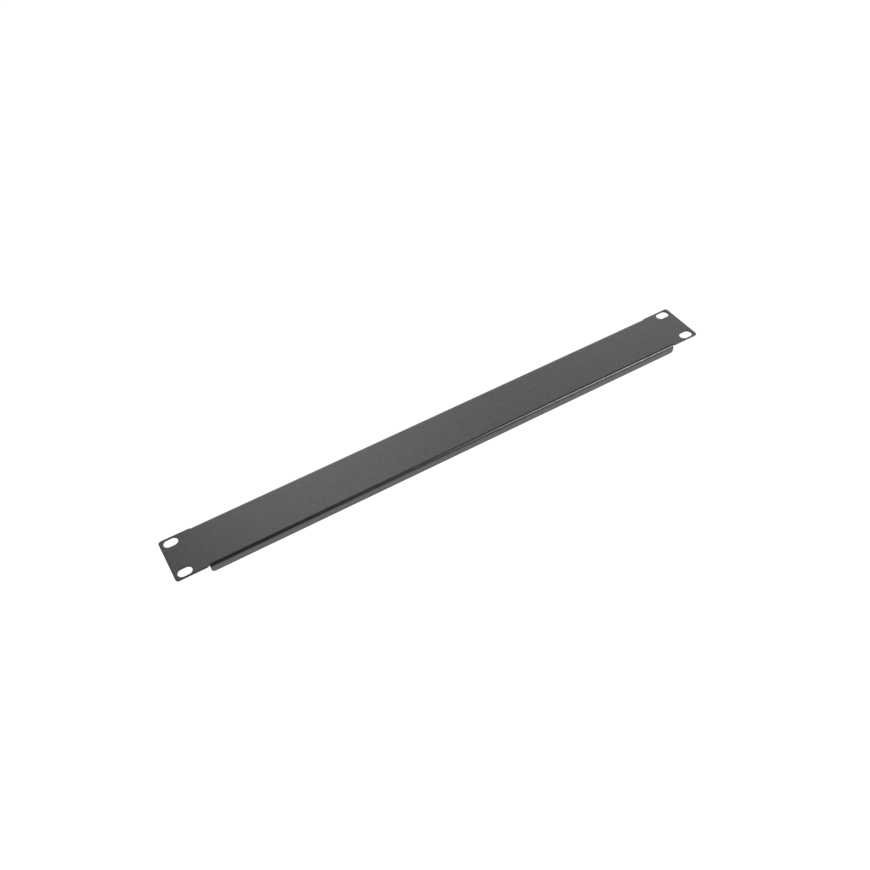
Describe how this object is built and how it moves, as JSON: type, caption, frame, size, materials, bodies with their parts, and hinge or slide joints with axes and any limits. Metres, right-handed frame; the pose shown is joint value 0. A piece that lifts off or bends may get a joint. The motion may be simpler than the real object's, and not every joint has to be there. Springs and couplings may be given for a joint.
{
  "type": "rack blanking panel",
  "caption": "Flat steel filler panel with two folded flanges and slotted ears that closes an empty bay in an equipment rack.",
  "frame": {"origin": "centre of the four mounting slots, on the rear face of the ears, where the panel meets the rack's rails", "axes": "+X along the panel's length, +Y across it towards its upper edge, +Z out of its front face; it lies face up on the free edges of its two flanges"},
  "size_m": [0.4826, 0.0436, 0.0078],
  "materials": {
    "powder_coat": "dark grey powder coat on steel sheet, fine-textured, low satin sheen"
  },
  "bodies": {
    "root": {"folded_panel": "powder_coat"}
  },
  "joints": []
}
